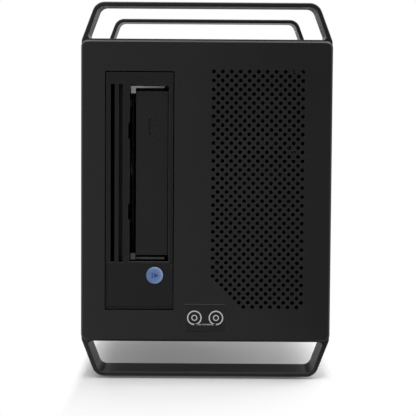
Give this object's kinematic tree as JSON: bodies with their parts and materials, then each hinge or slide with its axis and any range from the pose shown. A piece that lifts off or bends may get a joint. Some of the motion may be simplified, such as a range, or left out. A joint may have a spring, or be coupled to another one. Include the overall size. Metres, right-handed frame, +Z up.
{
  "type": "data tape drive",
  "caption": "Desktop data tape drive: cartridge drive on its side in a black aluminium case between two strap frames that form carry handles and feet.",
  "frame": {"origin": "on the floor, under the middle of the bounding box", "axes": "+X to the right as seen from the front, +Y towards the back, +Z up; the front face looks along -Y"},
  "size_m": [0.157, 0.2798, 0.2375],
  "materials": {
    "black_anodised": "fine bead-blasted black anodised aluminium",
    "black_powder": "fine-textured black powder coat on sheet",
    "badge_metal": "brushed dark anodised plate with a bright engraved mark",
    "black_rubber": "matt moulded rubber",
    "dark_screw": "black oxide steel",
    "plated_steel": "nickel or zinc plated steel",
    "plain_aluminium": "milled aluminium",
    "zinc_sheet": "galvanised sheet steel",
    "bright_sheet": "satin stainless sheet",
    "brass": "turned brass",
    "circuit_board": "solder-masked circuit board with moulded parts",
    "black_plastic": "moulded black plastic",
    "gloss_black": "polished black plastic",
    "cast_alloy": "die-cast aluminium",
    "bezel_plastic": "fine-grained black moulding",
    "door_plastic": "coarse-grained black moulding",
    "blue_button": "translucent light blue plastic",
    "white_plastic": "white acetal",
    "head_alloy": "lapped ceramic and metal",
    "cable_jacket": "soft PVC jacket"
  },
  "bodies": {
    "enclosure": {"badge_plate": "badge_metal", "base_tray": "black_powder", "board_standoffs": "brass", "cable_plugs": "black_plastic", "cartridge_guide": "bright_sheet", "control_board": "circuit_board", "control_panel": "bezel_plastic", "corner_blocks": "plain_aluminium", "cover_screws": "dark_screw", "data_cable": "cable_jacket", "data_ports": "plated_steel", "door_pin": "plated_steel", "drive_base_cover": "zinc_sheet", "drive_bezel": "bezel_plastic", "drive_cage": "black_powder", "drive_chassis": "cast_alloy", "drive_connector": "black_plastic", "drive_cover": "zinc_sheet", "drive_cover_screws": "plated_steel", "fan_frame": "black_plastic", "fan_guard": "plated_steel", "fan_screws": "dark_screw", "foot_pads": "black_rubber", "frame_screws": "dark_screw", "front_frame": "black_anodised", "front_panel": "black_anodised", "guide_posts": "plated_steel", "head_magnet": "plated_steel", "inlet_pins": "brass", "inside_screws": "dark_screw", "interface_board": "circuit_board", "loader_motor": "plated_steel", "loader_rails": "bright_sheet", "logic_board": "circuit_board", "power_cable": "cable_jacket", "power_inlet": "black_plastic", "psu_board": "circuit_board", "psu_case": "black_powder", "psu_lid": "black_powder", "rear_frame": "black_anodised", "rear_panel": "black_anodised", "rear_panel_screws": "dark_screw", "reel_motors": "cast_alloy", "wrap_cover": "black_powder"},
    "fan": {"fan_rotor": "black_plastic"},
    "rocker": {"power_rocker": "gloss_black"},
    "door": {"cartridge_door": "door_plastic", "door_spring": "plated_steel"},
    "button": {"eject_button": "blue_button"},
    "slider": {"loader_slider": "white_plastic"},
    "tray": {"loader_tray": "black_plastic"},
    "lead_screw": {"loader_screw": "plated_steel"},
    "hub": {"drive_hub": "plated_steel"},
    "reel": {"take_up_reel": "white_plastic"},
    "head": {"head_carriage": "white_plastic", "head_block": "head_alloy"},
    "roller_1": {"tape_roller_1": "white_plastic"},
    "roller_2": {"tape_roller_2": "white_plastic"},
    "roller_3": {"tape_roller_3": "white_plastic"},
    "roller_4": {"tape_roller_4": "white_plastic"}
  },
  "joints": [
    {"name": "door_swing", "type": "hinge", "parent": "enclosure", "child": "door", "pos_m": [-0.023, -0.13555, 0.1304], "axis": [0, 0, -1], "range_deg": [0, 90], "stiffness_Nm_per_rad": 0.004, "springref_deg": -20.05},
    {"name": "eject_press", "type": "slide", "parent": "enclosure", "child": "button", "axis": [0, 1, 0], "range_m": [0, 0.0012], "stiffness_N_per_m": 250, "springref_m": -0.002},
    {"name": "load_slide", "type": "slide", "parent": "enclosure", "child": "slider", "axis": [0, 1, 0], "range_m": [0, 0.018]},
    {"name": "load_drop", "type": "slide", "parent": "slider", "child": "tray", "axis": [-1, 0, 0], "range_m": [0, 0.003]},
    {"name": "lead_screw_turn", "type": "hinge", "parent": "enclosure", "child": "lead_screw", "pos_m": [-0.04, -0.06925, 0.06045], "axis": [0, 1, 0], "range_deg": [-2175, 15]},
    {"name": "hub_spin", "type": "hinge", "parent": "enclosure", "child": "hub", "pos_m": [-0.0555, -0.04825, 0.13045], "axis": [1, 0, 0], "continuous": true},
    {"name": "reel_spin", "type": "hinge", "parent": "enclosure", "child": "reel", "pos_m": [-0.038, 0.03075, 0.15245], "axis": [1, 0, 0], "continuous": true},
    {"name": "head_shift", "type": "slide", "parent": "enclosure", "child": "head", "axis": [1, 0, 0], "range_m": [-0.0045, 0.0045]},
    {"name": "roller_spin_1", "type": "hinge", "parent": "enclosure", "child": "roller_1", "pos_m": [-0.038, 0.00675, 0.07045], "axis": [1, 0, 0], "continuous": true},
    {"name": "roller_spin_2", "type": "hinge", "parent": "enclosure", "child": "roller_2", "pos_m": [-0.038, 0.01975, 0.06085], "axis": [1, 0, 0], "continuous": true},
    {"name": "roller_spin_3", "type": "hinge", "parent": "enclosure", "child": "roller_3", "pos_m": [-0.038, 0.04775, 0.06085], "axis": [1, 0, 0], "continuous": true},
    {"name": "roller_spin_4", "type": "hinge", "parent": "enclosure", "child": "roller_4", "pos_m": [-0.038, 0.05775, 0.07545], "axis": [1, 0, 0], "continuous": true},
    {"name": "fan_spin", "type": "hinge", "parent": "enclosure", "child": "fan", "pos_m": [-0.028, 0.12175, 0.15045], "axis": [0, 1, 0], "continuous": true},
    {"name": "rocker_tilt", "type": "hinge", "parent": "enclosure", "child": "rocker", "pos_m": [0.022, 0.13475, 0.05845], "axis": [1, 0, 0], "range_deg": [0, 12]}
  ],
  "couplings": [
    {"joint": "lead_screw_turn", "follows": "load_slide", "rad_per_m": -2094.4}
  ]
}
